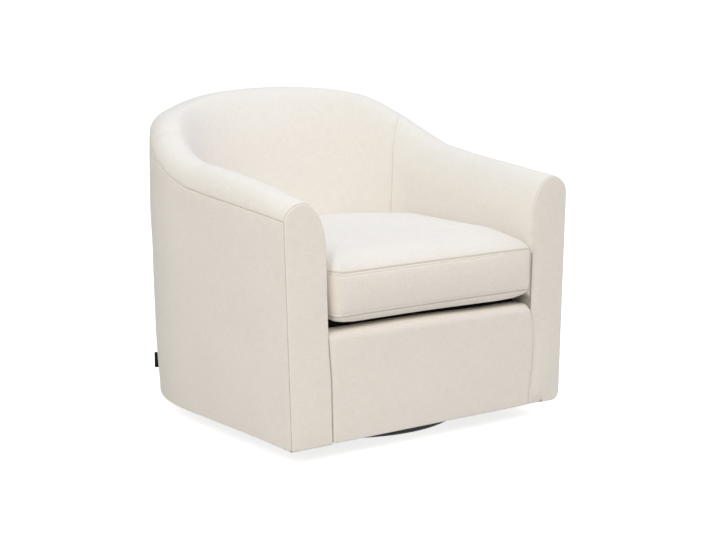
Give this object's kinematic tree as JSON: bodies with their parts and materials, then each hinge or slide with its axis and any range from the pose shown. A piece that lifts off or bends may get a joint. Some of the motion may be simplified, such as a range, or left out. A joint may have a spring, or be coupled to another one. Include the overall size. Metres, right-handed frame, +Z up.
{
  "type": "swivel barrel chair",
  "caption": "Upholstered barrel armchair with a wrap-around back sweeping down into rolled arms, a loose boxed seat cushion, and a hidden round plinth on a ball-bearing swivel.",
  "frame": {"origin": "on the floor plane, on the swivel's axis", "axes": "+Z up, the chair faces -Y at rest, +X to the right as seen from in front"},
  "size_m": [0.7946, 0.8418, 0.745],
  "materials": {
    "linen": "matte off-white woven linen-like cloth with a fine slub",
    "wadding": "soft fibre wadding",
    "black_cloth": "plain black cloth",
    "black_paint": "plywood painted satin black",
    "birch": "raw birch plywood",
    "fibreboard": "thin brown fibreboard",
    "steel": "zinc-plated steel",
    "black_steel": "black steel",
    "nylon": "dark nylon"
  },
  "bodies": {
    "base": {"base_plinth": "black_paint", "floor_glide_1": "nylon", "floor_glide_2": "nylon", "floor_glide_3": "nylon", "floor_glide_4": "nylon", "floor_glide_5": "nylon", "floor_glide_6": "nylon", "swivel_lower_plate": "black_steel", "swivel_pivot": "steel", "plinth_screw_1": "steel", "plinth_screw_2": "steel", "plinth_screw_3": "steel", "plinth_screw_4": "steel"},
    "ball_ring": {"ball_cage": "nylon", "bearing_ball_1": "steel", "bearing_ball_2": "steel", "bearing_ball_3": "steel", "bearing_ball_4": "steel", "bearing_ball_5": "steel", "bearing_ball_6": "steel", "bearing_ball_7": "steel", "bearing_ball_8": "steel"},
    "chair": {"swivel_upper_plate": "black_steel", "rail_bolt_1": "steel", "rail_bolt_2": "steel", "rail_bolt_3": "steel", "rail_bolt_4": "steel", "cross_rail_front": "birch", "cross_rail_rear": "birch", "bottom_frame": "birch", "seat_frame": "birch", "arm_front_board_left": "birch", "arm_front_board_right": "birch", "front_rail_board": "birch", "back_rib_left": "birch", "side_rib_left": "birch", "back_rib_right": "birch", "side_rib_right": "birch", "top_rail": "birch", "seat_spring_1": "black_steel", "seat_spring_2": "black_steel", "seat_spring_3": "black_steel", "seat_spring_4": "black_steel", "seat_spring_5": "black_steel", "deck_pad": "black_cloth", "barrel_padding": "wadding", "inside_liner": "fibreboard", "inside_back_cover": "linen", "outside_back_cover": "linen", "inside_arm_cover_left": "linen", "inside_arm_cover_right": "linen", "outside_arm_cover_left": "linen", "outside_arm_cover_right": "linen", "arm_front_cover_left": "linen", "arm_front_cover_right": "linen", "front_rail_cover": "linen", "dust_cover": "black_cloth", "seam_tab": "black_cloth"},
    "seat_cushion": {"seat_cushion": "linen"}
  },
  "joints": [
    {"name": "swivel", "type": "hinge", "parent": "base", "child": "chair", "pos_m": [0, 0, 0.0329], "axis": [0, 0, 1], "continuous": true},
    {"name": "ball_ring_turn", "type": "hinge", "parent": "base", "child": "ball_ring", "pos_m": [0, 0, 0.0329], "axis": [0, 0, 1], "continuous": true},
    {"name": "cushion_lift", "type": "slide", "parent": "chair", "child": "seat_cushion", "axis": [0, 0, 1], "range_m": [0, 0.4]}
  ],
  "couplings": [
    {"joint": "ball_ring_turn", "follows": "swivel", "ratio": 0.5}
  ]
}
